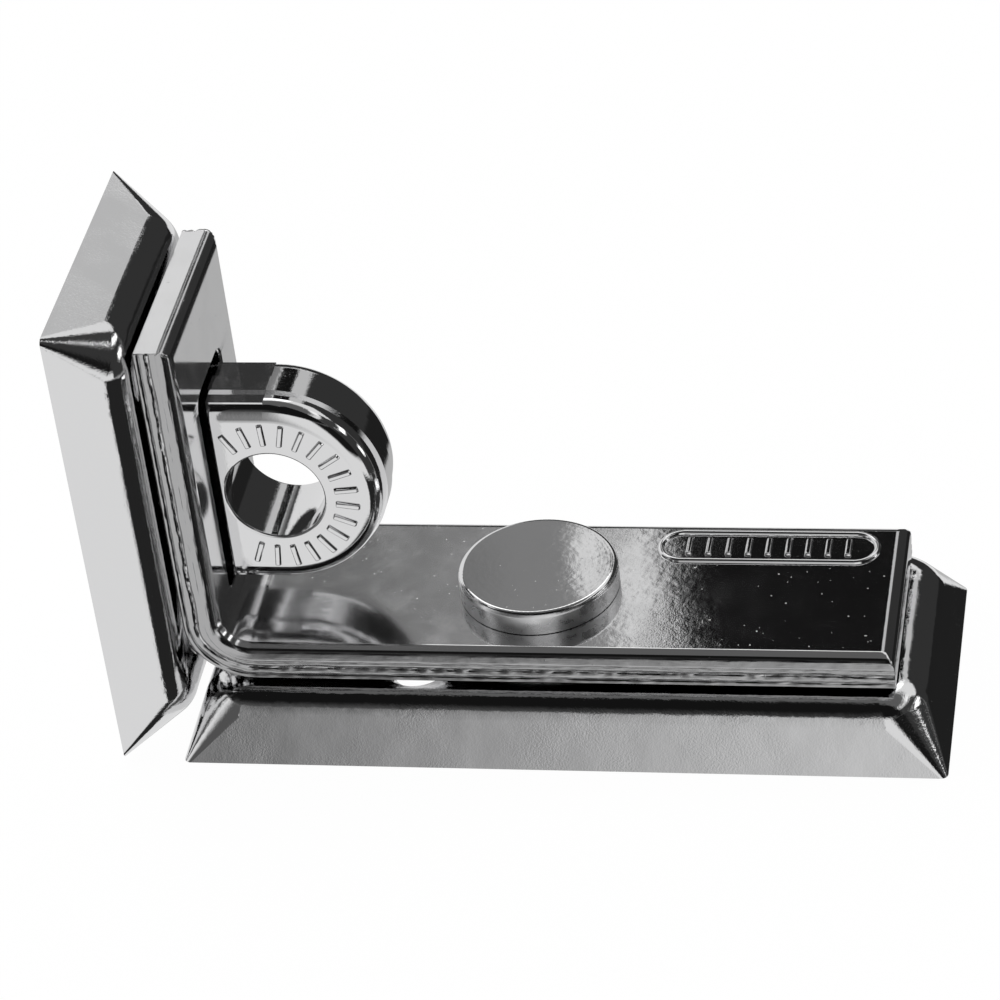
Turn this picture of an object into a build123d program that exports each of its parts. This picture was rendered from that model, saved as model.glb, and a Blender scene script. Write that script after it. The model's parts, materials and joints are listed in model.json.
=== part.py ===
"""Right-angle security hasp: a swivelling L-shaped arm on one pressed base, a forged staple on another.

Millimetres. The origin is on the pivot axis, on the swivel base's mounting plane.
+X points along the arm away from the staple, +Y to the back and +Z up, along the pivot.
"""

import os
from math import atan2, hypot, sin

from build123d import *

# Pressed trays, the same section for both bases
TRAY_WIDTH = 38.1
TRAY_HEIGHT = 8.5
TRAY_WALL = 2.0
FLANK_INSET = 3.2
SHOULDER_INNER_RADIUS = 2.4
CORNER_INNER_RADIUS = 5.5
RIM_CORNER_RADIUS = 0.9
RIM_INNER_CORNER_RADIUS = 0.45

# Where the two bases stand: the frame's plane from the pivot, the swivel base's reach to the right,
# how far its rim tucks under the staple base's shoulder and the staple base's foot above the door's plane
WALL_DISTANCE = 51.4
BASE_RIGHT = 51.4
BASE_TUCK = 0.9
STAPLE_BASE_FOOT = 0.3

# Screw holes: bore, countersink and the flat land left below it
SCREW_RADIUS = 2.9
SINK_RIM = 1.2
SCREW_LAND = 0.8

# Swivel base's screws: distance from the pivot, and spacing across on the left and along on the right
LEFT_SCREWS_REACH = 14.7
LEFT_SCREWS_ACROSS = 19.0
RIGHT_SCREWS_REACH = 31.0
RIGHT_SCREWS_ALONG = 14.0

# Staple base's screws: spacing across, room beside the staple's foot and metal above the upper pair
STAPLE_SCREWS_ACROSS = 14.0
FOOT_SCREW_GAP = 0.5
TOP_ABOVE_SCREWS = 13.5

# Arm: blanked plate, bent into an L
ARM_WIDTH = 27.5
ARM_THICKNESS = 4.5
ARM_GAP = 0.9
ARM_RIGHT = 45.1
LEG_GAP = 0.5
LEG_ABOVE_SLOT = 12.1
BEND_INNER_RADIUS = 3.6
EDGE_ROLL = 1.3

# Staple: forged eye with the padlock hole, on a thinner neck that ends just past the leg
STAPLE_THICKNESS = 11.0
STAPLE_WEB = 6.9
STAPLE_EDGE = 2.2
NECK_THICKNESS = 8.6
NECK_PAST_LEG = 0.7
ROOT_EDGE = 0.2
HOLE_RADIUS = 6.2
HOLE_EDGE = 0.3
HOLE_TO_LEG = 1.25
FLASH_WIDTH = 3.0
FLASH_TO_FRONT = 0.6
FLASH_PROUD = 0.35
FOOT_LIP_SIDE = 2.5
FOOT_LIP_END = 2.0
FOOT_THICKNESS = 2.5
SEAT_CLEARANCE = 0.1

# Slot of the arm's leg round the staple; its lower end runs out into the bend
SLOT_SIDE_CLEARANCE = 0.8
SLOT_END_CLEARANCE = 1.4
SLOT_INTO_BEND = 0.5
SLOT_CORNER = 2.0
SLOT_EDGE = 0.3

# Pivot: a shouldered rivet with a domed button head, peened under a washer
BUTTON_RADIUS = 10.0
BUTTON_HEIGHT = 3.3
BUTTON_DOME = 0.2
BUTTON_EDGE = 0.7
PIVOT_RADIUS = 6.0
PIVOT_STEP = 1.5
PIVOT_CLEARANCE = 0.06
TAIL_CLEARANCE = 0.05
TAIL_LIP = 2.1
TAIL_HEAD_HEIGHT = 1.8
TAIL_EDGE = 0.8
TAIL_WASHER_RIM = 4.0
TAIL_WASHER_THICKNESS = 1.5
THRUST_WASHER_RIM = 4.5
THRUST_PLAY = 0.1

# How near an edge lies to the place where it is looked for
MATCH = 1e-3

# Levels, places and radii that follow
WALL_LEVEL = TRAY_HEIGHT - TRAY_WALL
ARM_UNDER = TRAY_HEIGHT + ARM_GAP
ARM_TOP = ARM_UNDER + ARM_THICKNESS
BUTTON_UNDER = ARM_TOP + THRUST_PLAY
TAIL_RADIUS = PIVOT_RADIUS - PIVOT_STEP
STAPLE_BASE_TOP_X = TRAY_HEIGHT - WALL_DISTANCE
STAPLE_SEAT_X = STAPLE_BASE_TOP_X - TRAY_WALL
BASE_LEFT = BASE_TUCK - STAPLE_BASE_TOP_X
LEG_OUTER_X = STAPLE_BASE_TOP_X + LEG_GAP
LEG_INNER_X = LEG_OUTER_X + ARM_THICKNESS
BEND_OUTER_RADIUS = BEND_INNER_RADIUS + ARM_THICKNESS
BEND_X = LEG_OUTER_X + BEND_OUTER_RADIUS
BEND_Z = ARM_UNDER + BEND_OUTER_RADIUS
STAPLE_RADIUS = HOLE_RADIUS + STAPLE_WEB
SLOT_WIDTH = STAPLE_THICKNESS + 2 * SLOT_SIDE_CLEARANCE
SLOT_HEIGHT = 2 * (STAPLE_RADIUS + SLOT_END_CLEARANCE)
HOLE_X = LEG_INNER_X + HOLE_TO_LEG + HOLE_RADIUS
ROOT_X = LEG_INNER_X + NECK_PAST_LEG
HOLE_Z = BEND_Z - SLOT_INTO_BEND + SLOT_HEIGHT / 2
LEG_TOP = HOLE_Z + SLOT_HEIGHT / 2 + LEG_ABOVE_SLOT
STAPLE_SCREWS_RISE = STAPLE_RADIUS + FOOT_LIP_END + FOOT_SCREW_GAP + SCREW_RADIUS
STAPLE_BASE_LENGTH = HOLE_Z + STAPLE_SCREWS_RISE + TOP_ABOVE_SCREWS - STAPLE_BASE_FOOT


def tray_block(length, width, height, inset, rim_corner, top_corner, shoulder):
    """A solid frustum with plane flanks, corners that open out towards the top and a round shoulder."""
    rim = RectangleRounded(length, width, rim_corner)
    top = Pos(0, 0, height) * RectangleRounded(length - 2 * inset, width - 2 * inset, top_corner)
    block = loft([rim, top], ruled=True)
    return fillet(block.faces().sort_by(Axis.Z)[-1].edges(), shoulder)


def tray(length):
    """A pressed tray of even wall, rim on Z = 0 and centred on the origin, hollow below."""
    side = TRAY_WALL / sin(atan2(TRAY_HEIGHT, FLANK_INSET))
    inner_inset = WALL_LEVEL * FLANK_INSET / TRAY_HEIGHT
    outer = tray_block(length, TRAY_WIDTH, TRAY_HEIGHT, FLANK_INSET, RIM_CORNER_RADIUS,
                       CORNER_INNER_RADIUS + TRAY_WALL, SHOULDER_INNER_RADIUS + TRAY_WALL)
    inner = tray_block(length - 2 * side, TRAY_WIDTH - 2 * side, WALL_LEVEL, inner_inset,
                       RIM_INNER_CORNER_RADIUS, CORNER_INNER_RADIUS, SHOULDER_INNER_RADIUS)
    return outer - inner


def screw_pair(middle, along=0.0, across=0.0):
    """Two countersunk screw holes through a tray's top, as the tool that cuts them."""
    sink_depth = TRAY_WALL - SCREW_LAND
    tool = Part()
    for side in (-0.5, 0.5):
        x = middle + side * along
        y = side * across
        tool += Pos(x, y, TRAY_HEIGHT - TRAY_WALL / 2) * Cylinder(SCREW_RADIUS, 2 * TRAY_WALL)
        tool += Pos(x, y, TRAY_HEIGHT - sink_depth / 2) * Cone(SCREW_RADIUS, SCREW_RADIUS + SINK_RIM, sink_depth)
    return tool


def swivel_base():
    """The lying tray with four screw holes and the rivet's hole."""
    body = Pos((BASE_RIGHT - BASE_LEFT) / 2, 0, 0) * tray(BASE_LEFT + BASE_RIGHT)
    body -= screw_pair(-LEFT_SCREWS_REACH, across=LEFT_SCREWS_ACROSS)
    body -= screw_pair(RIGHT_SCREWS_REACH, along=RIGHT_SCREWS_ALONG)
    pivot = Cylinder(TAIL_RADIUS + TAIL_CLEARANCE, 2 * TRAY_WALL)
    return body - Pos(0, 0, TRAY_HEIGHT - TRAY_WALL / 2) * pivot


def staple_base():
    """The standing tray with four screw holes and the seat that the staple comes out of."""
    middle = STAPLE_BASE_FOOT + STAPLE_BASE_LENGTH / 2
    seat_x = HOLE_Z - middle
    body = tray(STAPLE_BASE_LENGTH)
    for rise in (-STAPLE_SCREWS_RISE, STAPLE_SCREWS_RISE):
        body -= screw_pair(seat_x + rise, across=STAPLE_SCREWS_ACROSS)
    seat = Box(2 * (STAPLE_RADIUS + SEAT_CLEARANCE), NECK_THICKNESS + 2 * SEAT_CLEARANCE, 4 * TRAY_WALL)
    body -= Pos(seat_x, 0, TRAY_HEIGHT) * seat
    # The tray's length runs up Z and its top looks along +X
    upright = Plane(origin=(-WALL_DISTANCE, 0, middle), x_dir=(0, 0, 1), z_dir=(1, 0, 0))
    return upright * body


def staple_plate(radius, root_x, thickness):
    """A plate in the XZ plane: straight from its root, round about the padlock hole."""
    low = HOLE_Z - radius
    high = HOLE_Z + radius
    with BuildSketch(Plane.XZ) as outline:
        with BuildLine():
            Line((root_x, low), (HOLE_X, low))
            ThreePointArc((HOLE_X, low), (HOLE_X + radius, HOLE_Z), (HOLE_X, high))
            Line((HOLE_X, high), (root_x, high))
            Line((root_x, high), (root_x, low))
        make_face()
    return extrude(outline.sketch, thickness / 2, both=True)


def staple():
    """The forged staple: rounded eye, trimmed flash line, padlock hole, neck and a foot in the tray."""
    eye = staple_plate(STAPLE_RADIUS, ROOT_X, STAPLE_THICKNESS)
    on_face = [e for e in eye.edges() if abs(abs(e.center().Y) - STAPLE_THICKNESS / 2) < MATCH]
    eye = fillet([e for e in on_face if e.center().X > ROOT_X + MATCH], STAPLE_EDGE)
    eye = fillet(eye.faces().sort_by(Axis.X)[0].edges(), ROOT_EDGE)
    neck = Box(HOLE_X - STAPLE_SEAT_X, NECK_THICKNESS, 2 * STAPLE_RADIUS)
    neck = Pos((HOLE_X + STAPLE_SEAT_X) / 2, 0, HOLE_Z) * neck
    flash = Pos(0, -FLASH_TO_FRONT, 0) * staple_plate(STAPLE_RADIUS + FLASH_PROUD, LEG_INNER_X, FLASH_WIDTH)
    foot = Box(FOOT_THICKNESS, NECK_THICKNESS + 2 * FOOT_LIP_SIDE, 2 * (STAPLE_RADIUS + FOOT_LIP_END))
    foot = Pos(STAPLE_SEAT_X - FOOT_THICKNESS / 2, 0, HOLE_Z) * foot
    hole = Pos(HOLE_X, 0, HOLE_Z) * Rot(90, 0, 0) * Cylinder(HOLE_RADIUS, 2 * STAPLE_THICKNESS)
    body = eye + neck + flash + foot - hole
    mouths = [e for e in body.edges().filter_by(GeomType.CIRCLE) if abs(e.radius - HOLE_RADIUS) < MATCH]
    return fillet(mouths, HOLE_EDGE)


def arm_section():
    """The L section of the arm on the XZ plane, with its bend as two arcs about one centre."""
    with BuildSketch(Plane.XZ) as section:
        with BuildLine():
            Line((LEG_OUTER_X, LEG_TOP), (LEG_OUTER_X, BEND_Z))
            RadiusArc((LEG_OUTER_X, BEND_Z), (BEND_X, ARM_UNDER), -BEND_OUTER_RADIUS)
            Line((BEND_X, ARM_UNDER), (ARM_RIGHT, ARM_UNDER))
            Line((ARM_RIGHT, ARM_UNDER), (ARM_RIGHT, ARM_TOP))
            Line((ARM_RIGHT, ARM_TOP), (BEND_X, ARM_TOP))
            RadiusArc((BEND_X, ARM_TOP), (LEG_INNER_X, BEND_Z), BEND_INNER_RADIUS)
            Line((LEG_INNER_X, BEND_Z), (LEG_INNER_X, LEG_TOP))
            Line((LEG_INNER_X, LEG_TOP), (LEG_OUTER_X, LEG_TOP))
        make_face()
    return section.sketch


def hasp_arm():
    """The bent plate: edges rolled over on its upper side, the pivot hole and the staple's slot."""
    plate = extrude(arm_section(), ARM_WIDTH / 2, both=True)
    upper = [e for e in plate.edges() if on_upper_side(e.center())]
    plate = fillet([e for e in upper if on_outline(e.center())], EDGE_ROLL)
    pivot = Pos(0, 0, ARM_TOP) * Cylinder(PIVOT_RADIUS + PIVOT_CLEARANCE, 4 * ARM_THICKNESS)
    mouth = Plane(origin=(LEG_INNER_X, 0, HOLE_Z), x_dir=(0, 1, 0), z_dir=(1, 0, 0))
    slot = extrude(mouth * RectangleRounded(SLOT_WIDTH, SLOT_HEIGHT, SLOT_CORNER), 2 * ARM_THICKNESS, both=True)
    body = plate - pivot - slot
    upper = [e for e in body.edges() if on_upper_side(e.center())]
    return fillet([e for e in upper if in_slot(e.center())], SLOT_EDGE)


def on_upper_side(point):
    """True on the plate's upper side: the lying leg's top, the bend's inside and the standing leg's inside."""
    on_top = abs(point.Z - ARM_TOP) < MATCH and point.X > BEND_X - MATCH
    on_leg = abs(point.X - LEG_INNER_X) < MATCH and point.Z > BEND_Z - MATCH
    in_corner = point.X < BEND_X and point.Z < BEND_Z
    on_bend = abs(hypot(point.X - BEND_X, point.Z - BEND_Z) - BEND_INNER_RADIUS) < MATCH
    return on_top or on_leg or (in_corner and on_bend)


def on_outline(point):
    """True at the plate's sides and at its two ends."""
    at_side = abs(abs(point.Y) - ARM_WIDTH / 2) < MATCH
    return at_side or abs(point.X - ARM_RIGHT) < MATCH or abs(point.Z - LEG_TOP) < MATCH


def in_slot(point):
    """True on the slot's wall."""
    within = abs(point.Y) < SLOT_WIDTH / 2 + MATCH and abs(point.Z - HOLE_Z) < SLOT_HEIGHT / 2 + MATCH
    return within and point.X < BEND_X


def turned(lines):
    """A solid turned about the pivot axis from a closed half outline on the XZ plane."""
    return revolve(Plane.XZ * make_face(lines), Axis.Z)


def washer(outer, inner, low, thickness):
    """A flat washer about the pivot axis."""
    high = low + thickness
    return turned(Polyline((inner, low), (outer, low), (outer, high), (inner, high), close=True))


def pivot_rivet():
    """The shouldered rivet: domed button on the arm, shoulder through it, tail peened in the base."""
    tail_high = WALL_LEVEL - TAIL_WASHER_THICKNESS
    tail_low = tail_high - TAIL_HEAD_HEIGHT
    tail_head_radius = TAIL_RADIUS + TAIL_LIP
    button_rim = BUTTON_UNDER + BUTTON_HEIGHT - BUTTON_DOME
    crown = (0, BUTTON_UNDER + BUTTON_HEIGHT)
    dome_radius = (BUTTON_RADIUS ** 2 + BUTTON_DOME ** 2) / (2 * BUTTON_DOME)
    stepped = Polyline(
        crown,
        (0, tail_low),
        (tail_head_radius, tail_low),
        (tail_head_radius, tail_high),
        (TAIL_RADIUS, tail_high),
        (TAIL_RADIUS, TRAY_HEIGHT),
        (PIVOT_RADIUS, TRAY_HEIGHT),
        (PIVOT_RADIUS, BUTTON_UNDER),
        (BUTTON_RADIUS, BUTTON_UNDER),
        (BUTTON_RADIUS, button_rim),
    )
    dome = RadiusArc((BUTTON_RADIUS, button_rim), crown, -dome_radius)
    body = turned(stepped + dome)
    circles = body.edges().filter_by(GeomType.CIRCLE)
    body = fillet([e for e in circles if abs(e.center().Z - button_rim) < MATCH], BUTTON_EDGE)
    circles = body.edges().filter_by(GeomType.CIRCLE)
    return fillet([e for e in circles if abs(e.center().Z - tail_low) < MATCH], TAIL_EDGE)


def thrust_washer():
    """The thin washer round the rivet's shoulder, between the base and the arm."""
    outer = PIVOT_RADIUS + THRUST_WASHER_RIM
    return washer(outer, PIVOT_RADIUS + PIVOT_CLEARANCE, TRAY_HEIGHT, ARM_GAP - THRUST_PLAY)


def tail_washer():
    """The washer inside the base, under the rivet's peened tail."""
    outer = TAIL_RADIUS + TAIL_WASHER_RIM
    low = WALL_LEVEL - TAIL_WASHER_THICKNESS
    return washer(outer, TAIL_RADIUS + TAIL_CLEARANCE, low, TAIL_WASHER_THICKNESS)


NODES = {
    "swivel_base": swivel_base,
    "staple_base": staple_base,
    "staple": staple,
    "hasp_arm": hasp_arm,
    "pivot_rivet": pivot_rivet,
    "thrust_washer": thrust_washer,
    "tail_washer": tail_washer,
}

os.makedirs("parts", exist_ok=True)
for name, make in NODES.items():
    shape = make()
    print(name, round(shape.volume, 1), shape.bounding_box())
    export_step(shape, f"parts/{name}.step")
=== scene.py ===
"""Dresses the security hasp: the blanked arm, the chrome finishes, the raised marks and the studio round it.

Metres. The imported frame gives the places; +X points along the arm, +Y to the back and +Z up the pivot.
"""

import json
import math

import bmesh
import bpy
from bpy.props import FloatProperty, FloatVectorProperty, IntProperty, PointerProperty
from bpy.types import Operator, Panel, PropertyGroup
from mathutils import Matrix, Vector, noise


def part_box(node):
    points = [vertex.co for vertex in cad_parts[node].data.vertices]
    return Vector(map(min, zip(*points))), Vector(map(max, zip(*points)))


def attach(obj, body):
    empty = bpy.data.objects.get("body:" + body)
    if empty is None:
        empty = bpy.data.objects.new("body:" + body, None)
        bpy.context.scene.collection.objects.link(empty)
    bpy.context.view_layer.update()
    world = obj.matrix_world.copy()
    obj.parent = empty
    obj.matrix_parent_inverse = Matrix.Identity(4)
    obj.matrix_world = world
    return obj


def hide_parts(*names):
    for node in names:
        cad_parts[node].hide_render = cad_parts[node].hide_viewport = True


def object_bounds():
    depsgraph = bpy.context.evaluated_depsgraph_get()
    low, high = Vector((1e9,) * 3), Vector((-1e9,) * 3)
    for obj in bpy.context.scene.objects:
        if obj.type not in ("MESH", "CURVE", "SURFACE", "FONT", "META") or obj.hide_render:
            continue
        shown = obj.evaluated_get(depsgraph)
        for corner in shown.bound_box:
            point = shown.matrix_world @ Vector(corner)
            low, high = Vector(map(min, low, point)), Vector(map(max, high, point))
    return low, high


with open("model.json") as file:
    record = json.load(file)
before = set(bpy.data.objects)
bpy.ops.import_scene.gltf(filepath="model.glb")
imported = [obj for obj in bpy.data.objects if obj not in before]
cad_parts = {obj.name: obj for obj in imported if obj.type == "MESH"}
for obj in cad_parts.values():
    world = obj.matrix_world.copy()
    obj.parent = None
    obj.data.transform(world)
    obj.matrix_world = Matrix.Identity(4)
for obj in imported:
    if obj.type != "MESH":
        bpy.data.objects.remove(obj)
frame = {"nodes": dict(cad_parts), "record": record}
CAD_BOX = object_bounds()

bl_info = {
    "name": "Security hasp",
    "version": (1, 0, 0),
    "blender": (4, 5, 0),
    "location": "View3D > Sidebar > Hasp",
    "description": "Dresses a right-angle security hasp in chrome and sets it in a studio",
    "category": "Object",
}

MM = 0.001
IMAGE_SIDE = 1000
SENSOR_WIDTH = 36.0
PLATE_THICKNESS = 4.5 * MM

# Slack for picking parts of a mesh by their place, and the angle in degrees past which an edge stays sharp
PICK_SLACK = 0.01 * MM
SHARP_ANGLE = 40

# Places that the frame gives
ARM_LOW, ARM_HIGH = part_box("hasp_arm")
BUTTON_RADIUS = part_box("pivot_rivet")[1].x
ARM_TOP = ARM_LOW.z + PLATE_THICKNESS
HOLE = Vector(next(m for m in frame["record"]["mounts"] if m["name"] == "padlock_hole")["pos_m"])
FLOOR_LEVEL = CAD_BOX[0][2]

# Front face of the staple
STAPLE_FACE = -5.5 * MM

# Name of the attribute that holds each point's place along, across and up through the bent plate
PLATE_PLACE = "plate_place"

# Angles of the first and last rib round the padlock hole, degrees from +X towards +Z
RIB_FIRST = 122
RIB_LAST = -110

# The studio round the object, as soft cards on the sky: name, azimuth from +Y towards +X and elevation
# of the middle, half width and half height, softness (all degrees) and brightness
STUDIO_LEVEL = 0.84
STUDIO_CARDS = (
    ("ceiling", 0, 90, 180, 32, 4, 0.12),
    ("front flag", -170, 61, 75, 23, 3, 0.008),
    ("right front flag", 130, 18, 20, 22, 5, 0.01),
    ("front counter", -145, 12, 26, 34, 12, 0.1),
    ("front low flag", 180, -68, 80, 20, 4, 0.02),
    ("back strip", -12, 47.5, 20, 6.5, 1, 1.7),
    ("back grey", -31.1, 37.6, 19.7, 3.3, 0.4, 0.24),
    ("back left grey", -32.8, 37.6, 18, 3.3, 1.5, 0.17),
    ("back low grey", -14.3, 32.0, 3.0, 2.6, 0.4, 0.24),
    ("back dark band", -17.95, 33.2, 2.35, 2.4, 0.4, 0.04),
    ("back gap", 8.5, 37, 7.5, 4, 1, 0.58),
    ("back black", -3.85, 37.4, 6.65, 3.6, 0.4, 0.008),
    ("back low flag", 5, 10, 20, 17, 2, 0.03),
    ("back floor", 1, -38, 23, 14, 2, 0.5),
    ("right back flag", 45, -14, 21, 34, 2, 0.016),
    ("right back upper flag", 40, 17, 26, 20, 1.5, 0.036),
    ("right low flag", 95, -35, 50, 14, 3, 0.02),
    ("right middle flag", 91, 8, 25, 28, 3, 0.04),
    ("right upper flag", 89, 42, 27, 9, 2, 0.05),
    ("right dim strip", 99, 33, 3, 3, 1.5, 0.4),
    ("right softbox", 78, 28.5, 14, 4, 2, 1.7),
    ("right low softbox", 80, 4, 7, 5, 2, 1.7),
    ("right high softbox", 66, 55, 12, 3.5, 2, 1.1),
)

# Lines that blanking left on the plate's edge: depth below the rolled edge, how deep, how wide,
# how far it strays and over what length (all millimetres)
SHEAR_LINES = (
    (0.15, 0.10, 0.14, 0.12, 6.0),
    (1.10, 0.40, 0.28, 0.20, 5.0),
    (2.20, 0.22, 0.20, 0.12, 7.0),
)
# A quicker wave on top of each line's stray: how much quicker, its share, and how it varies the line's depth
QUICK_RATE = 4.3
QUICK_SHARE = 0.4
QUICK_DEPTH = (0.75, 0.5)

# Places in the noise that keep the two sides, the lines and the quick wave apart
SIDE_SEED = 7.0
LINE_SEED = 3.0
QUICK_SEED = 40.0

# The torn band between the second and third line: its depth, and the depth, length, height and seed of its grain.
# Then the burr below it: its height and slope (lengths in millimetres)
SHEAR_TEAR = 0.09
SHEAR_GRAIN = 0.06
GRAIN_LENGTH = 0.9
GRAIN_HEIGHT = 0.35
GRAIN_SEED = 5.0
SHEAR_BURR = 0.2
BURR_SLOPE = 0.8

# Section of the rolled edge: share of the roll that is a flat slope, where that slope ends, as shares
# of the roll's width still to go and of its depth, and how the slope and the steep part bend
SLOPE_SHARE = 0.6
SLOPE_END_WIDTH = 0.4
SLOPE_END_DEPTH = 0.22
SLOPE_BEND = 1.25
STEEP_BEND = 2.2


# Chrome plate: size of the patches of grain, the noise range they fade over and the least share of grain,
# the noise range of a pit, and the size, noise range and most of the haze
PATCH_SIZE = 9 * MM
PATCH_RANGE = (0.36, 0.66)
PATCH_LEAST = 0.25
PIT_RANGE = (0.75, 0.82)
HAZE_SIZE = 4 * MM
HAZE_RANGE = (0.35, 0.75)
HAZE_MOST = 1.5

# Slow waves of the pressed sheet
WAVE_SIZE = 7 * MM

# The arm's plate: where its duller end begins and ends along X and how dull it gets, the strip by its edge, and
# the streaks and tears there, with how far each is drawn out along, across and up through the plate
DULL_RANGE = (-14 * MM, 12 * MM)
DULL_MOST = 2.8
EDGE_STRIP = (0.5 * MM, 0.25 * MM)
EDGE_HAZE = 0.12
STREAK_SIZE = 0.34 * MM
STREAK_DRAW = (0.04, 0.3, 1.0)
TORN_SIZE = 1.0 * MM
TORN_DRAW = (0.2, 0.3, 0.6)
TORN_RANGE = (0.35, 0.7)
TORN_LEAST = 0.3

# The rivet's head: spacing of its rings, the rim where its duller side begins, and the side's smudges
RING_SIZE = 0.7 * MM
RIM_STRIP = (0.35 * MM, 0.05 * MM)
SMUDGE_SIZE = 2.5 * MM
SMUDGE_RANGE = (0.3, 0.7)
SMUDGE_SHARES = (0.6, 1.3)

# The washers' steel: colour, grain and haze
STEEL_COLOUR = (0.6, 0.6, 0.6, 1.0)
STEEL_GRAIN_SIZE = 0.3 * MM
STEEL_GRAIN_DEPTH = 0.003 * MM
STEEL_GRAIN_RANGE = (0.3, 0.7)
STEEL_HAZE = (0.25, 0.45)

# A raised rib: width of its top and softness of its edges, as shares of its foot's width and of its height
RIB_TOP = 0.55
RIB_EDGE = 0.3


class HaspCameraSettings(PropertyGroup):
    """Where the photograph was taken from."""

    yaw: FloatProperty(name="Yaw", description="Turn of the view from +Y towards -X",
                       default=math.radians(13.227), subtype="ANGLE")
    pitch: FloatProperty(name="Pitch", description="How far the view looks down",
                         default=math.radians(35.737), subtype="ANGLE")
    roll: FloatProperty(name="Roll", description="Turn of the picture about the line of sight",
                        default=math.radians(-7.303), subtype="ANGLE")
    place: FloatVectorProperty(name="Place", description="Where the camera stands",
                               default=(87.14 * MM, -386.57 * MM, 312.87 * MM), subtype="TRANSLATION", unit="LENGTH")
    focal_pixels: FloatProperty(name="Focal length in pixels", description="For a picture 1000 pixels wide",
                                default=3979.9)


class HaspStageSettings(PropertyGroup):
    """Floor and light."""

    floor_side: FloatProperty(name="Floor side", description="Side of the square floor", default=6.0, unit="LENGTH")
    floor_colour: FloatVectorProperty(name="Floor colour", description="Pale floor", size=3, subtype="COLOR",
                                      default=(0.95, 0.95, 0.95), min=0.0, max=1.0)
    floor_white: FloatProperty(name="Floor white", description="Share of plain white in what the camera sees",
                               default=0.93, min=0.0, max=1.0, subtype="FACTOR")
    floor_glow: FloatProperty(name="Floor glow", description="Strength of that plain white", default=1.05, min=0.0)


class HaspChromeSettings(PropertyGroup):
    """Chrome plate."""

    colour: FloatVectorProperty(name="Chrome colour", description="Reflected colour of the plate", size=3,
                                subtype="COLOR", default=(0.78, 0.78, 0.785), min=0.0, max=1.0)
    roughness: FloatProperty(name="Roughness", description="Haze of the polished plate", default=0.035,
                             min=0.0, max=1.0, subtype="FACTOR")
    wall_roughness: FloatProperty(name="Turned wall roughness", description="Haze of the rivet head's turned side",
                                  default=0.3, min=0.0, max=1.0, subtype="FACTOR")
    peel_size: FloatProperty(name="Peel size", description="Width of a ripple of the plate", default=1.1 * MM,
                             unit="LENGTH")
    peel_depth: FloatProperty(name="Peel depth", description="Depth of a ripple of the plate", default=0.004 * MM,
                              unit="LENGTH")
    grain_size: FloatProperty(name="Grain size", description="Width of a grain", default=0.24 * MM, unit="LENGTH")
    grain_depth: FloatProperty(name="Grain depth", description="Depth of the grain", default=0.006 * MM, unit="LENGTH")
    pit_size: FloatProperty(name="Pit spacing", description="Spacing of stray pits", default=0.55 * MM, unit="LENGTH")
    pit_depth: FloatProperty(name="Pit depth", description="Depth of a pit", default=0.01 * MM, unit="LENGTH")
    streak_depth: FloatProperty(name="Streak depth", description="Depth of the streaks on a blanked edge",
                                default=0.09 * MM, unit="LENGTH")
    # Painted shade: the plate's colour on the arm's edge strip is darkened to this share of its brightness, standing
    # in for the darker reflection there
    painted_edge_shade: FloatProperty(name="Edge shade", description="Share of its brightness that plate on a torn edge keeps",
                              default=0.58, min=0.0, max=1.0, subtype="FACTOR")
    dent_depth: FloatProperty(name="Dent depth", description="Depth of the slow waves of a pressed sheet",
                              default=0.05 * MM, unit="LENGTH")
    face_depth: FloatProperty(name="Face depth", description="How far turning flattened the domed rivet head",
                              default=0.115 * MM, unit="LENGTH")
    ring_depth: FloatProperty(name="Ring depth", description="Depth of the turned rings on the rivet's head",
                              default=0.0012 * MM, unit="LENGTH")


class HaspArmSettings(PropertyGroup):
    """The blanked plate of the arm."""

    thickness: FloatProperty(name="Thickness", description="Thickness of the plate", default=PLATE_THICKNESS,
                              unit="LENGTH")
    bend_radius: FloatProperty(name="Bend radius", description="Inside radius of the bend", default=3.6 * MM,
                               unit="LENGTH")
    edge_roll: FloatProperty(name="Edge roll", description="Radius that the blanking die rolled over",
                             default=1.7 * MM, unit="LENGTH")
    ring_step: FloatProperty(name="Ring step", description="Spacing of the mesh along the plate", default=0.5 * MM,
                             unit="LENGTH")
    end_lean: FloatProperty(name="End lean", description="Slant of the sheared end at the leg's top",
                            default=math.radians(3.5), subtype="ANGLE")
    slot_width: FloatProperty(name="Slot width", description="Width of the staple's slot", default=12.6 * MM,
                              unit="LENGTH")
    slot_height: FloatProperty(name="Slot height", description="Height of the staple's slot", default=29.0 * MM,
                               unit="LENGTH")
    slot_corner: FloatProperty(name="Slot corner", description="Corner radius of the slot", default=2.0 * MM,
                               unit="LENGTH")
    slot_edge: FloatProperty(name="Slot edge", description="Bevel of the slot's mouth", default=0.3 * MM,
                             unit="LENGTH")
    pivot_radius: FloatProperty(name="Pivot hole radius", description="Radius of the hole for the rivet",
                                default=6.06 * MM, unit="LENGTH")


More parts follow.
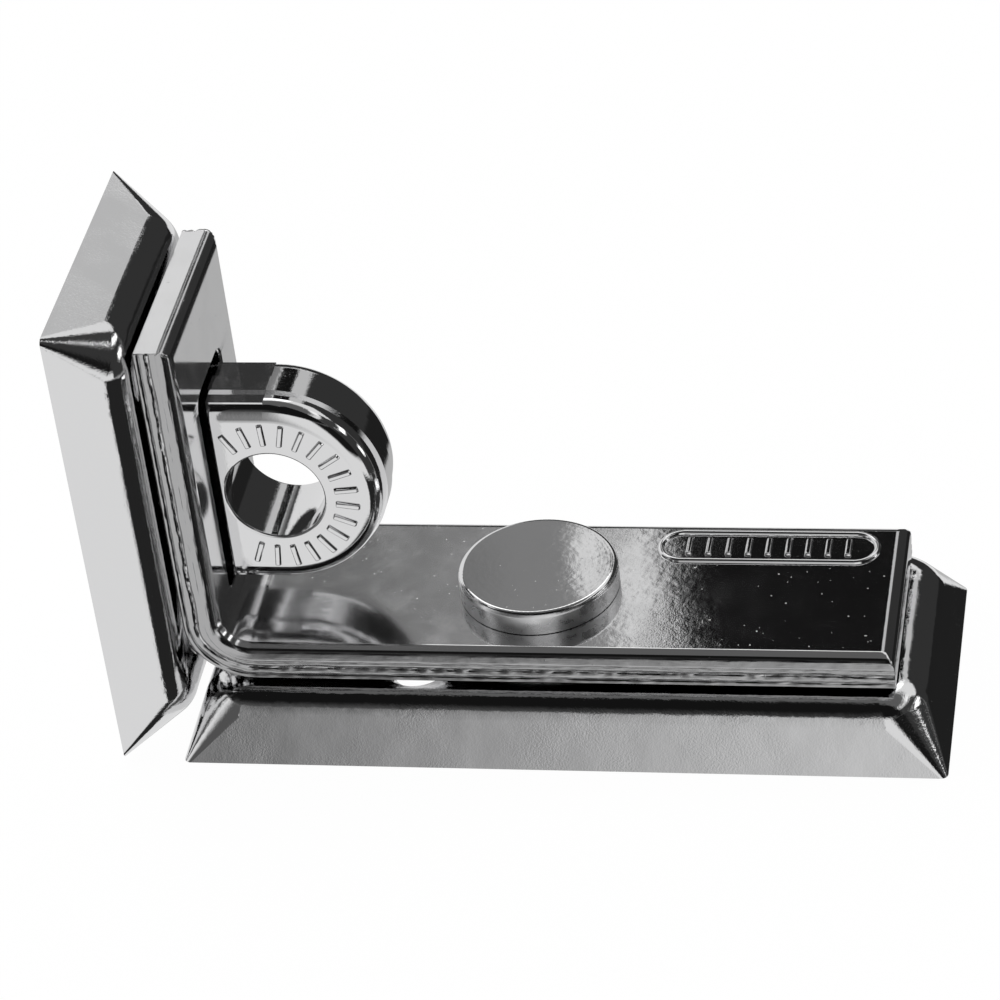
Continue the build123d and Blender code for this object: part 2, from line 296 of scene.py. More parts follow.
class HaspMarkSettings(PropertyGroup):
    """Plain raised marks."""

    rib_count: IntProperty(name="Staple ribs", description="Ribs round the padlock hole", default=17, min=1)
    rib_length: FloatProperty(name="Rib length", description="Length of a rib, outwards from the hole",
                              default=3.3 * MM, unit="LENGTH")
    rib_width: FloatProperty(name="Rib width", description="Width of a rib at its foot", default=1.0 * MM,
                             unit="LENGTH")
    rib_height: FloatProperty(name="Rib height", description="How far a rib stands proud", default=0.35 * MM,
                              unit="LENGTH")
    rib_ring: FloatProperty(name="Rib ring radius", description="From the hole's axis to the middle of a rib",
                            default=9.1 * MM, unit="LENGTH")
    bead_length: FloatProperty(name="Bead length", description="Length of the raised oval on the arm",
                               default=28.0 * MM, unit="LENGTH")
    bead_width: FloatProperty(name="Bead width", description="Width of the raised oval on the arm",
                              default=6.6 * MM, unit="LENGTH")
    bead_wire: FloatProperty(name="Bead thickness", description="Width of the raised line of that oval",
                             default=0.8 * MM, unit="LENGTH")
    bead_place: FloatVectorProperty(name="Bead place", description="Middle of the oval on the arm's top", size=2,
                                    default=(27.8 * MM, 8.4 * MM), unit="LENGTH")
    bar_count: IntProperty(name="Bars", description="Bars inside the oval", default=9, min=1)
    bar_length: FloatProperty(name="Bar length", description="Length of a bar, across the arm", default=3.6 * MM,
                              unit="LENGTH")
    bar_width: FloatProperty(name="Bar width", description="Width of a bar at its foot", default=1.1 * MM,
                             unit="LENGTH")
    bar_spacing: FloatProperty(name="Bar spacing", description="From bar to bar", default=2.5 * MM, unit="LENGTH")


class Tree:
    """Adds nodes to a node tree and joins them."""

    def __init__(self, tree):
        self.tree = tree
        self.tree.nodes.clear()

    def node(self, kind, **settings):
        """A new node of this kind with these settings."""
        made = self.tree.nodes.new(kind)
        for name, value in settings.items():
            setattr(made, name, value)
        return made

    def feed(self, socket, value):
        """Joins a socket to another one, or sets its own value."""
        if isinstance(value, bpy.types.NodeSocket):
            self.tree.links.new(value, socket)
        else:
            socket.default_value = value

    def math(self, operation, first, second=0.0):
        """A sum, product or other function of one or two values."""
        made = self.node("ShaderNodeMath", operation=operation)
        self.feed(made.inputs[0], first)
        self.feed(made.inputs[1], second)
        return made.outputs[0]

    def dot(self, vector, direction):
        """How far a vector goes along a direction."""
        made = self.node("ShaderNodeVectorMath", operation="DOT_PRODUCT")
        self.feed(made.inputs[0], vector)
        made.inputs[1].default_value = direction
        return made.outputs["Value"]

    def ramp(self, value, start, end, low=0.0, high=1.0):
        """A soft step from low to high as the value goes from start to end."""
        made = self.node("ShaderNodeMapRange", interpolation_type="SMOOTHSTEP")
        sockets = ("Value", "From Min", "From Max", "To Min", "To Max")
        for name, given in zip(sockets, (value, start, end, low, high)):
            self.feed(made.inputs[name], given)
        return made.outputs["Result"]

    def mix(self, factor, first, second):
        """A blend of two values."""
        made = self.node("ShaderNodeMix", data_type="FLOAT")
        self.feed(made.inputs["Factor"], factor)
        self.feed(made.inputs["A"], first)
        self.feed(made.inputs["B"], second)
        return made.outputs["Result"]

    def noise(self, vector, size, detail=2.0, roughness=0.5):
        """Cloudy noise from 0 to 1, with lumps of about this size."""
        made = self.node("ShaderNodeTexNoise")
        self.feed(made.inputs["Vector"], vector)
        made.inputs["Scale"].default_value = 1 / size
        made.inputs["Detail"].default_value = detail
        made.inputs["Roughness"].default_value = roughness
        return made.outputs["Fac"]

    def parts(self, vector):
        """The three coordinates of a vector."""
        made = self.node("ShaderNodeSeparateXYZ")
        self.feed(made.inputs["Vector"], vector)
        return made.outputs["X"], made.outputs["Y"], made.outputs["Z"]

    def stretched(self, vector, scale):
        """A vector with each coordinate made longer or shorter."""
        made = self.node("ShaderNodeMapping")
        self.feed(made.inputs["Vector"], vector)
        made.inputs["Scale"].default_value = scale
        return made.outputs["Vector"]

    def bump(self, height, depth, normal=None):
        """A bump of this depth on top of another one."""
        made = self.node("ShaderNodeBump")
        made.inputs["Distance"].default_value = depth
        self.feed(made.inputs["Height"], height)
        if normal is not None:
            self.feed(made.inputs["Normal"], normal)
        return made.outputs["Normal"]


def chrome(name, grain=1.0, pits=0.0, finish=None):
    """A chrome plate with ripples, patches of fine grain, stray pits and what its own piece adds."""
    settings = bpy.context.scene.hasp_chrome
    material = bpy.data.materials.new(name)
    material.use_nodes = True
    tree = Tree(material.node_tree)
    place = tree.node("ShaderNodeTexCoord").outputs["Object"]
    shader = tree.node("ShaderNodeBsdfPrincipled")
    shader.inputs["Metallic"].default_value = 1.0
    shader.inputs["Base Color"].default_value = (*settings.colour, 1.0)
    output = tree.node("ShaderNodeOutputMaterial")
    tree.feed(output.inputs["Surface"], shader.outputs["BSDF"])
    normal = tree.bump(tree.noise(place, settings.peel_size, 1.0), settings.peel_depth)
    patches = tree.ramp(tree.noise(place, PATCH_SIZE, 2.0), *PATCH_RANGE, PATCH_LEAST * grain, grain)
    fine = tree.noise(place, settings.grain_size, 2.0, 0.6)
    normal = tree.bump(tree.math("MULTIPLY", fine, patches), settings.grain_depth, normal)
    if pits:
        specks = tree.ramp(tree.noise(place, settings.pit_size, 1.0), *PIT_RANGE)
        normal = tree.bump(specks, pits * settings.pit_depth, normal)
    haze = tree.ramp(tree.noise(place, HAZE_SIZE, 3.0), *HAZE_RANGE,
                     settings.roughness, HAZE_MOST * settings.roughness)
    shade = None
    if finish:
        normal, haze, shade = finish(tree, place, normal, haze)
    # Where a finish gives a shade, the plate's colour is darkened by it: painted shade
    if shade is not None:
        colour = tree.node("ShaderNodeVectorMath", operation="SCALE")
        colour.inputs[0].default_value = settings.colour
        tree.feed(colour.inputs["Scale"], shade)
        tree.feed(shader.inputs["Base Color"], colour.outputs["Vector"])
    tree.feed(shader.inputs["Normal"], normal)
    tree.feed(shader.inputs["Roughness"], haze)
    return material


def pressed_sheet(tree, place, normal, haze):
    """Adds the slow waves that the press left in the trays' sheet."""
    settings = bpy.context.scene.hasp_chrome
    return tree.bump(tree.noise(place, WAVE_SIZE, 1.0), settings.dent_depth, normal), haze, None


def blanked_edge(tree, place, normal, haze):
    """Adds the streaks that the die drew along the arm's edges with painted shade darkening the plate's colour there,
    and a duller polish by its bend.
    """
    settings = bpy.context.scene.hasp_chrome
    dull = tree.ramp(tree.parts(place)[0], *DULL_RANGE, DULL_MOST, 1.0)
    haze = tree.math("MULTIPLY", haze, dull)
    plate = tree.node("ShaderNodeAttribute", attribute_name=PLATE_PLACE).outputs["Vector"]
    side = tree.math("ABSOLUTE", tree.parts(plate)[1])
    on_edge = tree.ramp(side, *(ARM_HIGH.y - strip for strip in EDGE_STRIP))
    lines = tree.noise(tree.stretched(plate, STREAK_DRAW), STREAK_SIZE, 3.0, 0.65)
    torn = tree.ramp(tree.noise(tree.stretched(plate, TORN_DRAW), TORN_SIZE, 2.0), *TORN_RANGE, TORN_LEAST, 1.0)
    height = tree.math("MULTIPLY", lines, tree.math("MULTIPLY", on_edge, torn))
    # Painted shade: the chrome colour on the edge strip is scaled down to the painted edge share
    shade = tree.mix(on_edge, 1.0, settings.painted_edge_shade)
    return tree.bump(height, settings.streak_depth, normal), tree.mix(on_edge, haze, EDGE_HAZE), shade


def turned_head(tree, place, normal, haze):
    """Adds a turned, flatter face with rings on the rivet head's top, and a duller side."""
    settings = bpy.context.scene.hasp_chrome
    x, y, _ = tree.parts(place)
    square = tree.math("ADD", tree.math("MULTIPLY", x, x), tree.math("MULTIPLY", y, y))
    radius = tree.math("SQRT", square)
    normal = tree.bump(tree.math("DIVIDE", square, BUTTON_RADIUS ** 2), settings.face_depth, normal)
    rings = tree.node("ShaderNodeTexNoise", noise_dimensions="1D")
    tree.feed(rings.inputs["W"], radius)
    rings.inputs["Scale"].default_value = 1 / RING_SIZE
    rings.inputs["Detail"].default_value = 3.0
    on_wall = tree.ramp(radius, *(BUTTON_RADIUS - strip for strip in RIM_STRIP))
    smudges = tree.ramp(tree.noise(place, SMUDGE_SIZE, 3.0), *SMUDGE_RANGE, *SMUDGE_SHARES)
    dull = tree.math("MULTIPLY", smudges, settings.wall_roughness)
    return tree.bump(rings.outputs["Fac"], settings.ring_depth, normal), tree.mix(on_wall, haze, dull), None


def plain_steel(name):
    """Plain brushed steel for the hidden washers."""
    material = bpy.data.materials.new(name)
    material.use_nodes = True
    tree = Tree(material.node_tree)
    place = tree.node("ShaderNodeTexCoord").outputs["Object"]
    shader = tree.node("ShaderNodeBsdfPrincipled")
    shader.inputs["Metallic"].default_value = 1.0
    shader.inputs["Base Color"].default_value = STEEL_COLOUR
    output = tree.node("ShaderNodeOutputMaterial")
    tree.feed(output.inputs["Surface"], shader.outputs["BSDF"])
    grain = tree.noise(place, STEEL_GRAIN_SIZE, 3.0)
    tree.feed(shader.inputs["Roughness"], tree.ramp(grain, *STEEL_GRAIN_RANGE, *STEEL_HAZE))
    tree.feed(shader.inputs["Normal"], tree.bump(grain, STEEL_GRAIN_DEPTH))
    return material


def begin(name):
    """Names the primitive that was just added and opens it in edit mode with nothing selected."""
    piece = bpy.context.active_object
    piece.name = name
    piece.data.name = name
    bpy.ops.object.mode_set(mode="EDIT")
    bpy.ops.mesh.select_all(action="DESELECT")
    return piece


def pick(piece, kind, wanted):
    """Selects the vertices, edges or faces of the mesh in edit mode whose middle is wanted."""
    bpy.ops.mesh.select_mode(type=kind)
    mesh = bmesh.from_edit_mesh(piece.data)
    for part in {"VERT": mesh.verts, "EDGE": mesh.edges, "FACE": mesh.faces}[kind]:
        if kind == "VERT":
            middle = part.co
        elif kind == "EDGE":
            middle = (part.verts[0].co + part.verts[1].co) / 2
        else:
            middle = part.calc_center_median()
        part.select_set(wanted(piece.matrix_world @ middle))
    bmesh.update_edit_mesh(piece.data)


def settle(piece):
    """Leaves edit mode and moves the object's place into its mesh."""
    bpy.ops.object.mode_set(mode="OBJECT")
    bpy.ops.object.select_all(action="DESELECT")
    piece.select_set(True)
    bpy.context.view_layer.objects.active = piece
    bpy.ops.object.transform_apply(location=True, rotation=True, scale=True)


def cut(piece, cutter):
    """Cuts one mesh out of another and removes the cutter."""
    tool = piece.modifiers.new("cut", "BOOLEAN")
    tool.operation = "DIFFERENCE"
    tool.solver = "EXACT"
    tool.object = cutter
    bpy.context.view_layer.objects.active = piece
    bpy.ops.object.modifier_apply(modifier=tool.name)
    bpy.data.objects.remove(cutter)


class HASP_OT_trays(Operator):
    """Gives the two pressed trays their chrome plate"""

    bl_idname = "hasp.trays"
    bl_label = "Finish the trays"

    def execute(self, context):
        material = chrome("tray_chrome_plate", grain=2.2, finish=pressed_sheet)
        for node in ("swivel_base", "staple_base"):
            frame["nodes"][node].material_slots[0].material = material
        return {"FINISHED"}


class HASP_OT_staple(Operator):
    """Gives the forged staple its pitted chrome plate"""

    bl_idname = "hasp.staple"
    bl_label = "Finish the staple"

    def execute(self, context):
        frame["nodes"]["staple"].material_slots[0].material = chrome("staple_chrome_plate", grain=1.2, pits=0.3)
        return {"FINISHED"}


class BentPlate:
    """The plate's own directions: how far along it a point lies and how high above its underside."""

    def __init__(self, settings):
        self.thickness = settings.thickness
        self.roll = settings.edge_roll
        self.lean = math.tan(settings.end_lean)
        self.half_width = ARM_HIGH.y
        self.outer_radius = settings.bend_radius + settings.thickness
        self.bend_x = ARM_LOW.x + self.outer_radius
        self.bend_z = ARM_LOW.z + self.outer_radius
        self.middle_radius = settings.bend_radius + settings.thickness / 2
        self.leg = ARM_HIGH.z - self.bend_z
        self.turn = self.middle_radius * math.pi / 2
        self.arm = ARM_HIGH.x - self.bend_x
        self.length = self.leg + self.turn + self.arm

    def locate(self, point):
        """Length along the plate from the leg's top, and height above the underside."""
        if point.z >= self.bend_z:
            return ARM_HIGH.z - point.z, point.x - ARM_LOW.x
        if point.x >= self.bend_x:
            return self.leg + self.turn + point.x - self.bend_x, point.z - ARM_LOW.z
        left = self.bend_x - point.x
        down = self.bend_z - point.z
        return self.leg + math.atan2(down, left) * self.middle_radius, self.outer_radius - math.hypot(left, down)

    def place(self, along, height, y):
        """The point at this length and height."""
        if along <= self.leg:
            return Vector((ARM_LOW.x + height, y, ARM_HIGH.z - along))
        if along >= self.leg + self.turn:
            return Vector((self.bend_x + along - self.leg - self.turn, y, ARM_LOW.z + height))
        angle = (along - self.leg) / self.middle_radius
        radius = self.outer_radius - height
        return Vector((self.bend_x - radius * math.cos(angle), y, self.bend_z - radius * math.sin(angle)))

    def sink(self, along, height, side):
        """How far blanking left the edge's face back from the full width at this place."""
        below = (self.thickness - self.roll - height) / MM
        length = along / MM
        if below < 0:
            return 0.0
        depth = 0.0
        for index, (level, deep, wide, stray, wave) in enumerate(SHEAR_LINES):
            slow = noise.noise(Vector((length / wave, side * SIDE_SEED, index * LINE_SEED)))
            quick = noise.noise(Vector((length / wave * QUICK_RATE, side * SIDE_SEED,
                                         index * LINE_SEED + QUICK_SEED)))
            offset = below - level - stray * (slow + QUICK_SHARE * quick)
            depth += deep * (QUICK_DEPTH[0] + QUICK_DEPTH[1] * quick) * math.exp(-(offset / wide) ** 2)
        tear_top = SHEAR_LINES[1][0]
        tear_low = SHEAR_LINES[2][0]
        if tear_top < below < tear_low:
            grain = noise.noise(Vector((length / GRAIN_LENGTH, below / GRAIN_HEIGHT, side * GRAIN_SEED)))
            depth += SHEAR_TEAR + SHEAR_GRAIN * grain
        full = (self.thickness - self.roll) / MM
        if below > full - SHEAR_BURR:
            depth += (below - full + SHEAR_BURR) * BURR_SLOPE
        return max(depth, 0.0) * MM

    def rolled(self, height, y):
        """Moves a point of the plain round edge to the worn edge's section: a flat slope, then a steep one."""
        up = height - (self.thickness - self.roll)
        out = abs(y) - (self.half_width - self.roll)
        if up < 0 or out < 0:
            return height, y
        share = 1 - math.atan2(up, out) / (math.pi / 2)
        if share < SLOPE_SHARE:
            part = share / SLOPE_SHARE
            inset = 1 - (1 - SLOPE_END_WIDTH) * part
            depth = SLOPE_END_DEPTH * part ** SLOPE_BEND
        else:
            part = (share - SLOPE_SHARE) / (1 - SLOPE_SHARE)
            inset = SLOPE_END_WIDTH * (1 - part) ** STEEP_BEND
            depth = SLOPE_END_DEPTH + (1 - SLOPE_END_DEPTH) * part
        return self.thickness - self.roll * depth, math.copysign(self.half_width - self.roll * inset, y)

    def leaned(self, along, height):
        """Moves a point near the leg's top down to its slanted end."""
        reach = max(0.0, 1 - along / self.thickness)
        return along + reach * self.lean * (self.thickness - height)

    def end_drop(self, along):
        """How far the upper side falls away at the plate's two ends."""
        reach = min(along, self.length - along)
        if reach >= self.roll:
            return 0.0
        short = self.roll - max(reach, 0.0)
        return self.roll - math.sqrt(max(self.roll ** 2 - short ** 2, 0.0))


# Mesh of the swept plate: steps round a rolled edge, cuts up the edge's face, steps round the bend and the first
# steps from each end
ROLL_STEPS = 15
FACE_CUTS = 27
TURN_STEPS = 24
END_STEPS = tuple(step * MM for step in (0.06, 0.12, 0.2, 0.3, 0.4, 0.5))


def push(piece, direction, length, step):
    """Extrudes the selected end face, closely at first and last and in even steps between."""
    rest = length - 2 * sum(END_STEPS)
    count = max(1, round(rest / step))
    for amount in (*END_STEPS, *([rest / count] * count), *reversed(END_STEPS)):
        bpy.ops.mesh.extrude_region_move(TRANSFORM_OT_translate={"value": direction * amount})


def sweep_plate(settings, plate):
    """The plain bent plate: its section at the leg's top, drawn down, round the bend and along the arm."""
    width = 2 * plate.half_width
    middle = ARM_LOW.x + settings.thickness / 2
    bpy.ops.mesh.primitive_plane_add(size=1, location=(middle, 0, ARM_HIGH.z))
    piece = begin("arm_plate")
    bpy.ops.mesh.select_all(action="SELECT")
    bpy.ops.transform.resize(value=(settings.thickness, width, 1), center_override=(middle, 0, ARM_HIGH.z))
    pick(piece, "VERT", lambda at: at.x > middle)
    bpy.ops.mesh.bevel(offset=settings.edge_roll, segments=ROLL_STEPS, affect="VERTICES")
    pick(piece, "EDGE", lambda at: abs(at.y) > plate.half_width - PICK_SLACK)
    bpy.ops.mesh.subdivide(number_cuts=FACE_CUTS)
    pick(piece, "FACE", lambda at: True)
    push(piece, Vector((0, 0, -1)), plate.leg, settings.ring_step)
    bpy.ops.mesh.spin(steps=TURN_STEPS, angle=math.pi / 2, center=(plate.bend_x, 0, plate.bend_z), axis=(0, 1, 0))
    push(piece, Vector((1, 0, 0)), plate.arm, settings.ring_step)
    bpy.ops.mesh.select_all(action="SELECT")
    bpy.ops.mesh.remove_doubles(threshold=0.001 * MM)
    bpy.ops.mesh.normals_make_consistent(inside=False)
    settle(piece)
    return piece


def shear_edges(piece, plate):
    """Rolls the two ends over and works the marks of blanking into the edge."""
    for vertex in piece.data.vertices:
        along, height = plate.locate(vertex.co)
        height, y = plate.rolled(height, vertex.co.y)
        height = min(height, plate.thickness - plate.end_drop(along))
        if abs(y) > plate.half_width - PICK_SLACK:
            side = math.copysign(1.0, y)
            y -= side * plate.sink(along, height, side)
        vertex.co = plate.place(plate.leaned(along, height), height, y)
    bpy.ops.object.mode_set(mode="EDIT")
    bpy.ops.mesh.select_all(action="SELECT")
    bpy.ops.mesh.remove_doubles(threshold=0.005 * MM)
    bpy.ops.mesh.dissolve_degenerate(threshold=0.002 * MM)
    bpy.ops.object.mode_set(mode="OBJECT")


def note_places(piece, plate):
    """Keeps each point's place along, across and up through the plate, for the streaks on its edges."""
    places = piece.data.attributes.new(PLATE_PLACE, "FLOAT_VECTOR", "POINT")
    for vertex, place in zip(piece.data.vertices, places.data):
        along, height = plate.locate(vertex.co)
        place.vector = (along, vertex.co.y, height)


def slot_cutter(settings):
    """A rounded block with a flared mouth, as the punch that made the staple's slot."""
    mouth_x = ARM_LOW.x + settings.thickness - settings.slot_edge
    length = 3 * settings.thickness
    centre = (mouth_x - length / 2, 0, HOLE.z)
    bpy.ops.mesh.primitive_cube_add(size=1, location=centre)
    cutter = begin("slot_punch")
    bpy.ops.mesh.select_all(action="SELECT")
    size = (length, settings.slot_width, settings.slot_height)
    bpy.ops.transform.resize(value=size, center_override=centre)
    pick(cutter, "EDGE", lambda at: abs(at.x - centre[0]) < PICK_SLACK)
    bpy.ops.mesh.bevel(offset=settings.slot_corner, segments=8, affect="EDGES")
    pick(cutter, "FACE", lambda at: at.x > mouth_x - PICK_SLACK)
    # The flare runs on past the leg's face, so that no edge of the punch lies in that face
    reach = 3 * settings.slot_edge
    bpy.ops.mesh.extrude_region_move(TRANSFORM_OT_translate={"value": (reach, 0, 0)})
    flare = [1 + 2 * reach / side for side in size[1:]]
    bpy.ops.transform.resize(value=(1, *flare), center_override=(mouth_x, 0, HOLE.z))
    settle(cutter)
    return cutter


def pivot_cutter(settings):
    """The punch that made the rivet's hole."""
    bpy.ops.mesh.primitive_cylinder_add(vertices=96, radius=settings.pivot_radius, depth=4 * settings.thickness,
                                        location=(0, 0, ARM_LOW.z + settings.thickness / 2))
    return bpy.context.active_object


def smooth(piece):
    """Smooth shading that keeps flat faces flat and edges past the sharp angle sharp."""
    bpy.ops.object.select_all(action="DESELECT")
    piece.select_set(True)
    bpy.context.view_layer.objects.active = piece
    bpy.ops.object.shade_smooth_by_angle(angle=math.radians(SHARP_ANGLE))
    weighted = piece.modifiers.new("weighted", "WEIGHTED_NORMAL")
    weighted.keep_sharp = True
    bpy.ops.object.modifier_apply(modifier=weighted.name)


class HASP_OT_arm(Operator):
    """Models the blanked and bent arm and plates it"""

    bl_idname = "hasp.arm"
    bl_label = "Build the arm"

    def execute(self, context):
        bpy.ops.object.select_all(action="DESELECT")
        settings = context.scene.hasp_arm
        plate = BentPlate(settings)
        arm = sweep_plate(settings, plate)
        shear_edges(arm, plate)
        cut(arm, slot_cutter(settings))
        cut(arm, pivot_cutter(settings))
        smooth(arm)
        note_places(arm, plate)
        arm.data.materials.append(chrome("arm_chrome_plate", grain=0.6, pits=0.8, finish=blanked_edge))
        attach(arm, "arm")
        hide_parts("hasp_arm")
        return {"FINISHED"}


def raised_rib(name, length, width, height):
    """One plain raised rib along Z on a face that looks to -Y, at the origin, with sloped sides and soft edges."""
    bpy.ops.mesh.primitive_cube_add(size=1, location=(0, 0, 0))
    rib = begin(name)
    bpy.ops.mesh.select_all(action="SELECT")
    bpy.ops.transform.resize(value=(width, 2 * height, length), center_override=(0, 0, 0))
    pick(rib, "FACE", lambda at: at.y < -0.9 * height)
    bpy.ops.transform.resize(value=(RIB_TOP, 1, 1 - (1 - RIB_TOP) * width / length), center_override=(0, -height, 0))
    pick(rib, "EDGE", lambda at: at.y < -0.5 * height or abs(at.y) < 0.2 * height)
    bpy.ops.mesh.bevel(offset=RIB_EDGE * height, segments=3, affect="EDGES")
    bpy.ops.object.mode_set(mode="OBJECT")
    return rib


def copies(first, count):
    """The first piece and more of it, each with a mesh of its own."""
    pieces = [first]
    for _ in range(1, count):
        piece = first.copy()
        piece.data = first.data.copy()
        bpy.context.collection.objects.link(piece)
        pieces.append(piece)
    return pieces


def joined(pieces):
    """Joins the pieces into the first one."""
    bpy.ops.object.select_all(action="DESELECT")
    for piece in pieces:
        piece.select_set(True)
    bpy.context.view_layer.objects.active = pieces[0]
    bpy.ops.object.join()
    return pieces[0]


def raised_oval(name, length, width, wire):
    """A raised line round an oval, at the origin on a face that looks up, its long way along X."""
    ring = (width - wire) / 2
    bpy.ops.mesh.primitive_torus_add(major_radius=ring, minor_radius=wire / 2, major_segments=46, minor_segments=12)
    oval = begin(name)
    half = (length - width) / 2
    for side in (-1, 1):
        pick(oval, "VERT", lambda at: at.x * side > 0)
        bpy.ops.transform.translate(value=(side * half, 0, 0))
    bpy.ops.mesh.select_all(action="SELECT")
    bpy.ops.mesh.bisect(plane_co=(0, 0, -0.1 * wire), plane_no=(0, 0, 1), clear_inner=True, use_fill=True)
    bpy.ops.mesh.select_all(action="SELECT")
    bpy.ops.mesh.normals_make_consistent(inside=False)
    bpy.ops.object.mode_set(mode="OBJECT")
    return oval


class HASP_OT_staple_marks(Operator):
    """Raises plain ribs round the padlock hole"""

    bl_idname = "hasp.staple_marks"
    bl_label = "Build the staple's ribs"

    def execute(self, context):
        bpy.ops.object.select_all(action="DESELECT")
        settings = context.scene.hasp_marks
        first = raised_rib("staple_ribs", settings.rib_length, settings.rib_width, settings.rib_height)
        ribs = copies(first, settings.rib_count)
        step = (RIB_FIRST - RIB_LAST) / (settings.rib_count - 1)
        for index, rib in enumerate(ribs):
            angle = math.radians(RIB_FIRST - index * step)
            outwards = Vector((math.cos(angle), 0, math.sin(angle)))
            place = Vector((HOLE.x, STAPLE_FACE, HOLE.z)) + outwards * settings.rib_ring
            turn = Matrix.Rotation(math.pi / 2 - angle, 4, "Y")
            rib.data.transform(Matrix.Translation(place) @ turn)
        marks = joined(ribs)
        smooth(marks)
        marks.data.materials.append(chrome("rib_chrome_plate", grain=0.6))
        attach(marks, "staple_unit")
        return {"FINISHED"}


class HASP_OT_arm_marks(Operator):
    """Raises a plain oval with an even row of bars on the arm"""

    bl_idname = "hasp.arm_marks"
    bl_label = "Build the arm's oval"

    def execute(self, context):
        bpy.ops.object.select_all(action="DESELECT")
        settings = context.scene.hasp_marks
        middle = Vector((*settings.bead_place, ARM_TOP))
        oval = raised_oval("arm_oval", settings.bead_length, settings.bead_width, settings.bead_wire)
        oval.data.transform(Matrix.Translation(middle))
        bpy.ops.object.select_all(action="DESELECT")
        first = raised_rib("arm_bar", settings.bar_length, settings.bar_width, settings.rib_height)
        bars = copies(first, settings.bar_count)
        upright = Matrix.Rotation(-math.pi / 2, 4, "X")
        for index, bar in enumerate(bars):
            along = (index - (settings.bar_count - 1) / 2) * settings.bar_spacing
            bar.data.transform(Matrix.Translation(middle + Vector((along, 0, 0))) @ upright)
        marks = joined([oval, *bars])
        smooth(marks)
        marks.data.materials.append(chrome("oval_chrome_plate", grain=0.6))
        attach(marks, "arm")
        return {"FINISHED"}


class HASP_OT_rivet(Operator):
    """Gives the turned rivet and the washers their finish"""

    bl_idname = "hasp.rivet"
    bl_label = "Finish the rivet and washers"

    def execute(self, context):
        plate = chrome("rivet_chrome_plate", grain=0.22, pits=0.3, finish=turned_head)
        frame["nodes"]["pivot_rivet"].material_slots[0].material = plate
        steel = plain_steel("washer_plain_steel")
        for node in ("thrust_washer", "tail_washer"):
            frame["nodes"][node].material_slots[0].material = steel
        return {"FINISHED"}


def light_studio(world):
    """Paints the sky with the studio's cards; the camera itself sees plain white there."""
    world.use_nodes = True
    tree = Tree(world.node_tree)
    direction = tree.node("ShaderNodeTexCoord").outputs["Generated"]
    elevation = tree.math("ARCSINE", tree.dot(direction, (0, 0, 1)))
    level = STUDIO_LEVEL
    for _, azimuth, middle, half_width, half_height, softness, brightness in STUDIO_CARDS:
        turn = math.radians(azimuth)
        sideways = tree.dot(direction, (math.cos(turn), -math.sin(turn), 0))
        ahead = tree.dot(direction, (math.sin(turn), math.cos(turn), 0))
        across = tree.math("ABSOLUTE", tree.math("ARCTAN2", sideways, ahead))
        rise = tree.math("ABSOLUTE", tree.math("SUBTRACT", elevation, math.radians(middle)))
        in_width = tree.ramp(across, math.radians(half_width + softness), math.radians(half_width - softness))
        in_height = tree.ramp(rise, math.radians(half_height + softness), math.radians(half_height - softness))
        level = tree.mix(tree.math("MULTIPLY", in_width, in_height), level, brightness)
    seen = tree.node("ShaderNodeLightPath").outputs["Is Camera Ray"]
    background = tree.node("ShaderNodeBackground")
    tree.feed(background.inputs["Color"], tree.mix(seen, level, 1.0))
    output = tree.node("ShaderNodeOutputWorld")
    tree.feed(output.inputs["Surface"], background.outputs["Background"])


def lay_floor(settings):
    """A pale floor that keeps the object's shadow and looks white to the camera."""
    bpy.ops.mesh.primitive_plane_add(size=settings.floor_side, location=(0, 0, FLOOR_LEVEL))
    floor = bpy.context.active_object
    floor.name = "floor"
    floor.visible_glossy = False
    material = bpy.data.materials.new("floor_white")
    material.use_nodes = True
    tree = Tree(material.node_tree)
    matt = tree.node("ShaderNodeBsdfDiffuse")
    matt.inputs["Color"].default_value = (*settings.floor_colour, 1.0)
    white = tree.node("ShaderNodeEmission")
    white.inputs["Strength"].default_value = settings.floor_glow
    path = tree.node("ShaderNodeLightPath")
    seen = tree.math("MAXIMUM", path.outputs["Is Camera Ray"], path.outputs["Is Glossy Ray"])
    seen = tree.math("MAXIMUM", seen, path.outputs["Is Transmission Ray"])
    mixed = tree.node("ShaderNodeMixShader")
    tree.feed(mixed.inputs["Fac"], tree.math("MULTIPLY", seen, settings.floor_white))
    tree.feed(mixed.inputs[1], matt.outputs["BSDF"])
    tree.feed(mixed.inputs[2], white.outputs["Emission"])
    output = tree.node("ShaderNodeOutputMaterial")
    tree.feed(output.inputs["Surface"], mixed.outputs["Shader"])
    floor.data.materials.append(material)


def place_camera(scene, settings):
    """Stands the camera where the photograph was taken."""
    yaw, pitch, roll = settings.yaw, settings.pitch, settings.roll
    ahead = Vector((-math.sin(yaw) * math.cos(pitch), math.cos(yaw) * math.cos(pitch), -math.sin(pitch)))
    level_right = Vector((math.cos(yaw), math.sin(yaw), 0))
    level_up = level_right.cross(ahead)
    right = level_right * math.cos(roll) + level_up * math.sin(roll)
    up = level_up * math.cos(roll) - level_right * math.sin(roll)
    bpy.ops.object.camera_add()
    camera = bpy.context.active_object
    camera.name = "photo_camera"
    camera.matrix_world = Matrix.Translation(settings.place) @ Matrix((right, up, -ahead)).transposed().to_4x4()
    camera.data.sensor_width = SENSOR_WIDTH
    camera.data.lens = SENSOR_WIDTH * settings.focal_pixels / IMAGE_SIDE
    camera.data.clip_start = 0.01
    scene.camera = camera


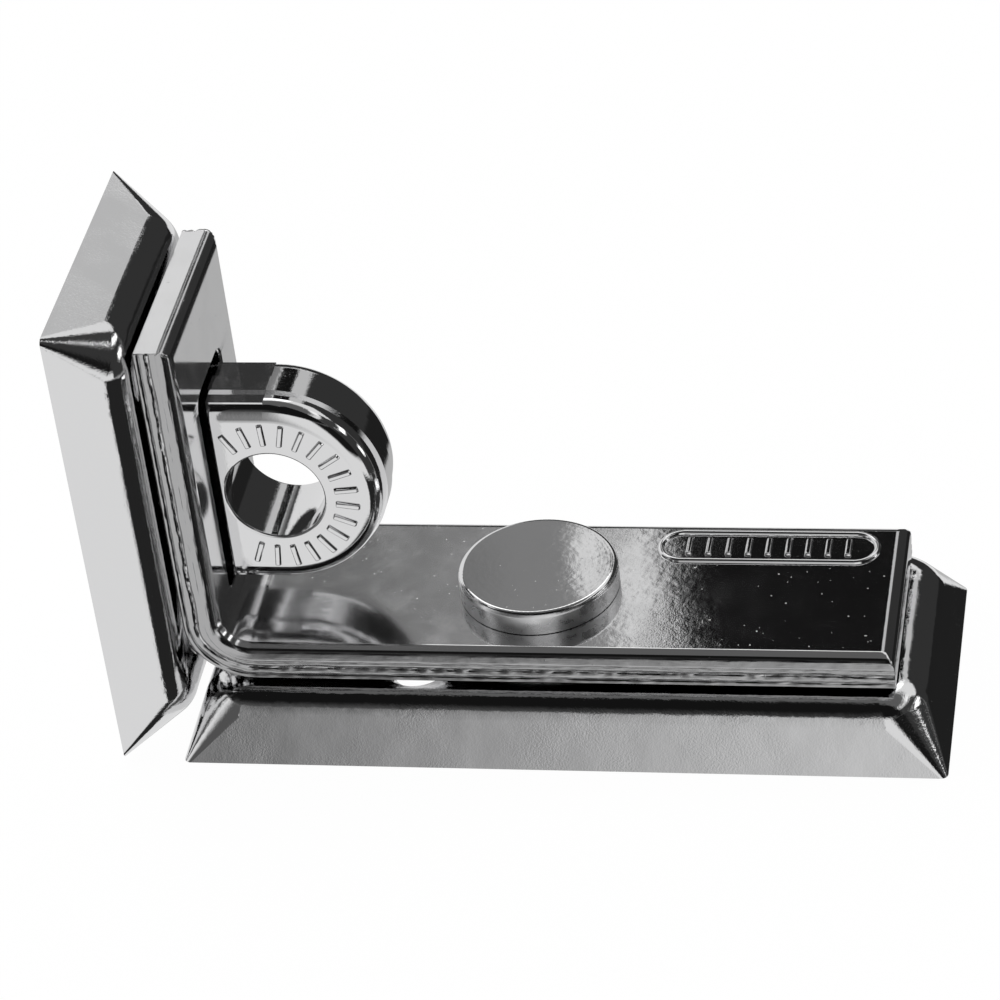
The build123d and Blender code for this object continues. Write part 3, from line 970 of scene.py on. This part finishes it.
class HASP_OT_stage(Operator):
    """Sets up the floor, the studio light and the camera"""

    bl_idname = "hasp.stage"
    bl_label = "Set the stage"

    def execute(self, context):
        bpy.ops.object.select_all(action="DESELECT")
        scene = context.scene
        lay_floor(scene.hasp_stage)
        if scene.world is None:
            scene.world = bpy.data.worlds.new("studio")
        light_studio(scene.world)
        place_camera(scene, scene.hasp_camera)
        scene.view_settings.view_transform = "Standard"
        return {"FINISHED"}


class HASP_PT_panel(Panel):
    """Lists the hasp's pieces and settings"""

    bl_idname = "HASP_PT_panel"
    bl_label = "Security hasp"
    bl_space_type = "VIEW_3D"
    bl_region_type = "UI"
    bl_category = "Hasp"

    def draw(self, context):
        for operator in OPERATORS:
            self.layout.operator(operator.bl_idname)
        for name in SETTINGS:
            group = getattr(context.scene, name)
            for prop in group.bl_rna.properties:
                if prop.identifier not in {"rna_type", "name"}:
                    self.layout.prop(group, prop.identifier)


OPERATORS = (HASP_OT_trays, HASP_OT_staple, HASP_OT_staple_marks, HASP_OT_arm, HASP_OT_arm_marks, HASP_OT_rivet,
             HASP_OT_stage)
SETTINGS = {
    "hasp_camera": HaspCameraSettings,
    "hasp_stage": HaspStageSettings,
    "hasp_chrome": HaspChromeSettings,
    "hasp_arm": HaspArmSettings,
    "hasp_marks": HaspMarkSettings,
}


def register():
    """Registers the classes and hangs the settings on the scene."""
    for kind in (*SETTINGS.values(), *OPERATORS, HASP_PT_panel):
        bpy.utils.register_class(kind)
    for name, kind in SETTINGS.items():
        setattr(bpy.types.Scene, name, PointerProperty(type=kind))


def unregister():
    """Takes the settings and classes away again."""
    for name in SETTINGS:
        delattr(bpy.types.Scene, name)
    for kind in reversed((*SETTINGS.values(), *OPERATORS, HASP_PT_panel)):
        bpy.utils.unregister_class(kind)


def main():
    """Builds everything in order."""
    register()
    bpy.ops.hasp.trays()
    bpy.ops.hasp.staple()
    bpy.ops.hasp.staple_marks()
    bpy.ops.hasp.arm()
    bpy.ops.hasp.arm_marks()
    bpy.ops.hasp.rivet()
    bpy.ops.hasp.stage()


if __name__ == "__main__":
    main()
